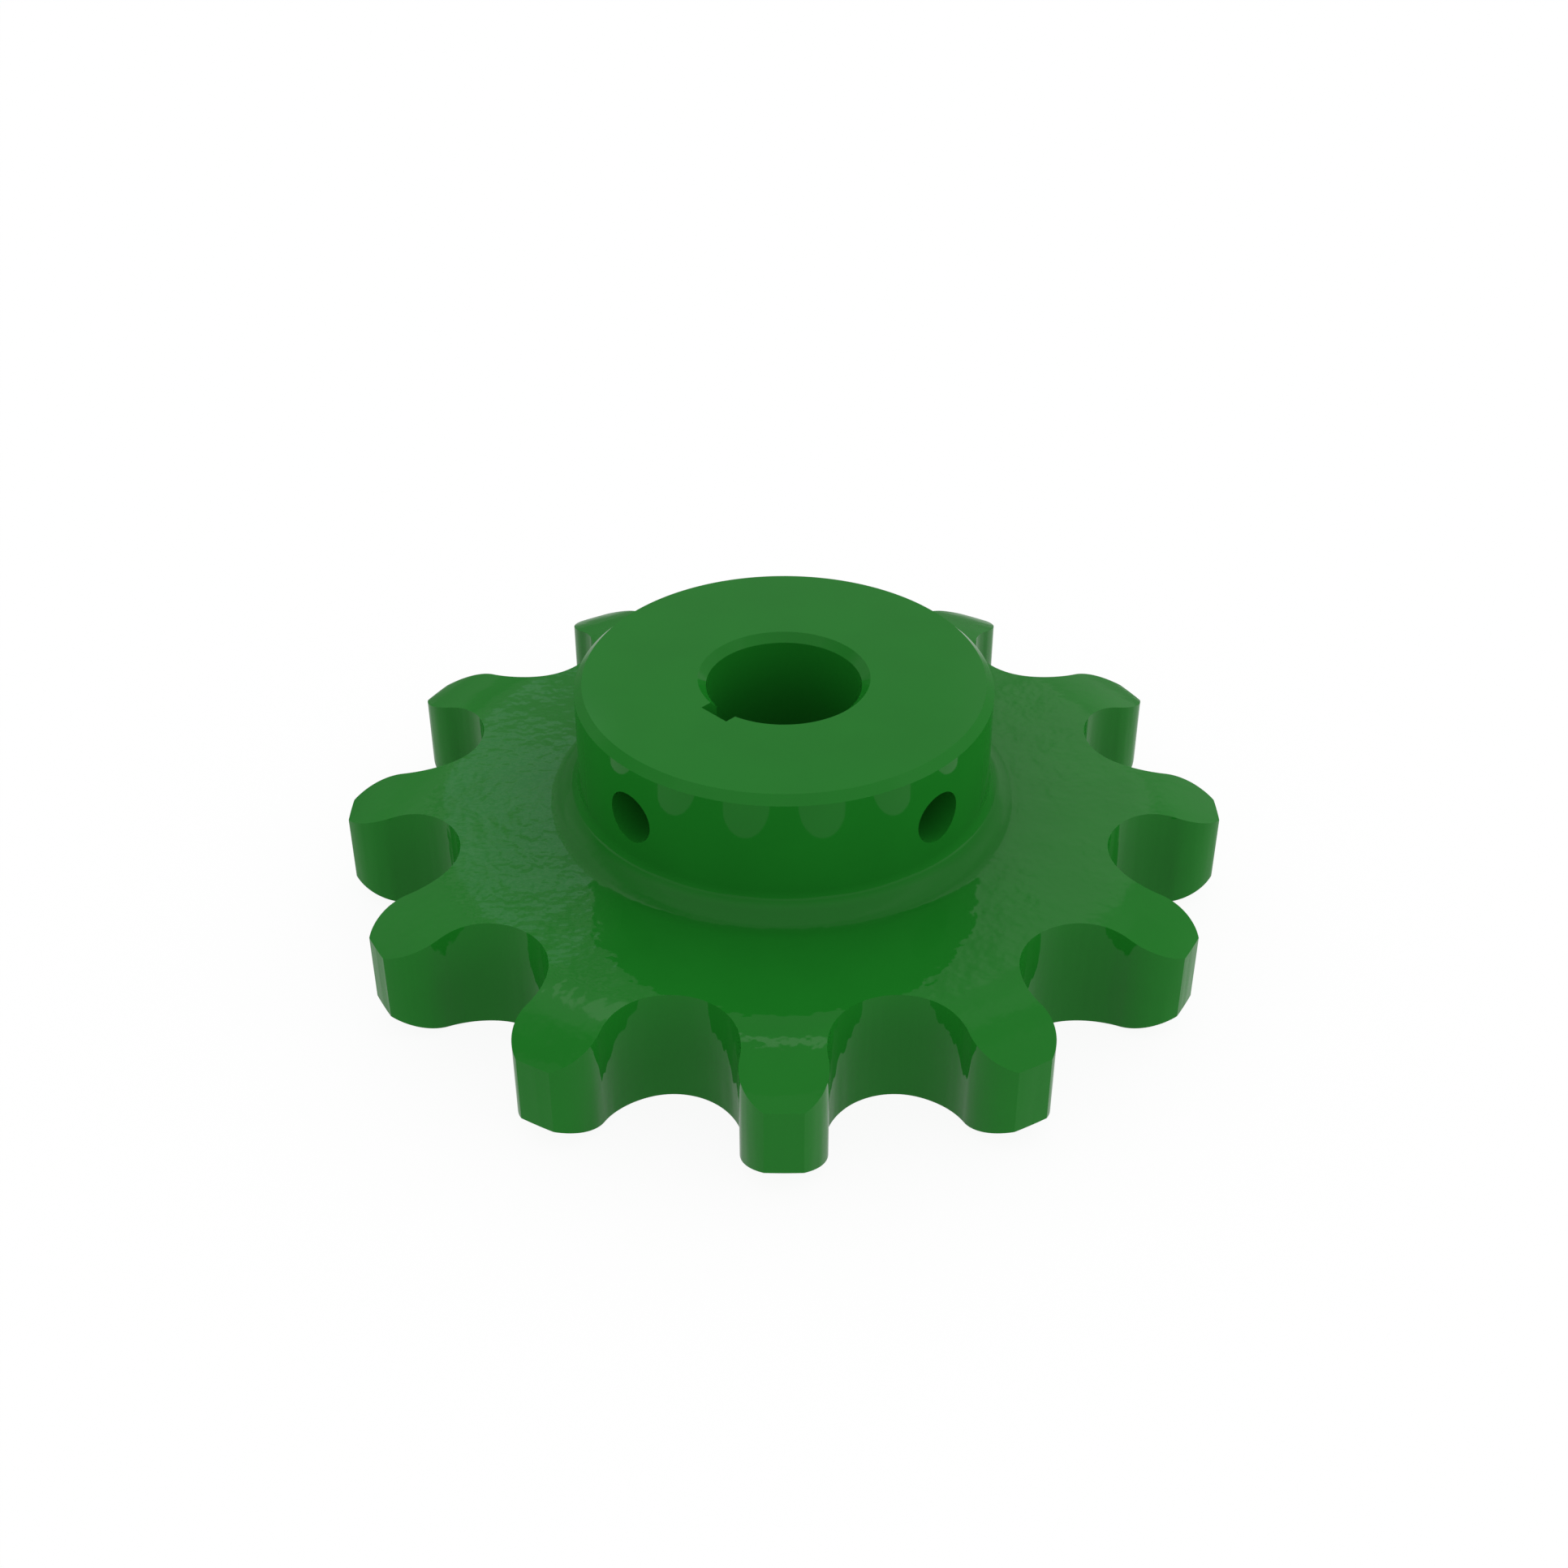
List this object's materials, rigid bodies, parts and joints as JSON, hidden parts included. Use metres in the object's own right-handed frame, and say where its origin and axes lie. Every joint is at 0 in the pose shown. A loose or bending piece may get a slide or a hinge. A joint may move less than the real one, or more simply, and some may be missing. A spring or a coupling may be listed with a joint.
{
  "type": "chain sprocket",
  "caption": "Roller-chain sprocket with a hub on one side, a keyed through bore, set-screw holes in the hub, round-bottomed tooth gaps and rounded tooth sides.",
  "frame": {"origin": "on the bore's axis, at the plate's flat face, where the part rests", "axes": "+Z along the bore's axis, from the plate towards the hub's face; -Y through the middle of a tooth; the keyway lies at -X, -Y"},
  "size_m": [0.0826, 0.0826, 0.024],
  "materials": {
    "green_paint": "glossy green paint, slightly wavy on the plate's faces"
  },
  "bodies": {
    "root": {"sprocket": "green_paint"}
  },
  "joints": []
}
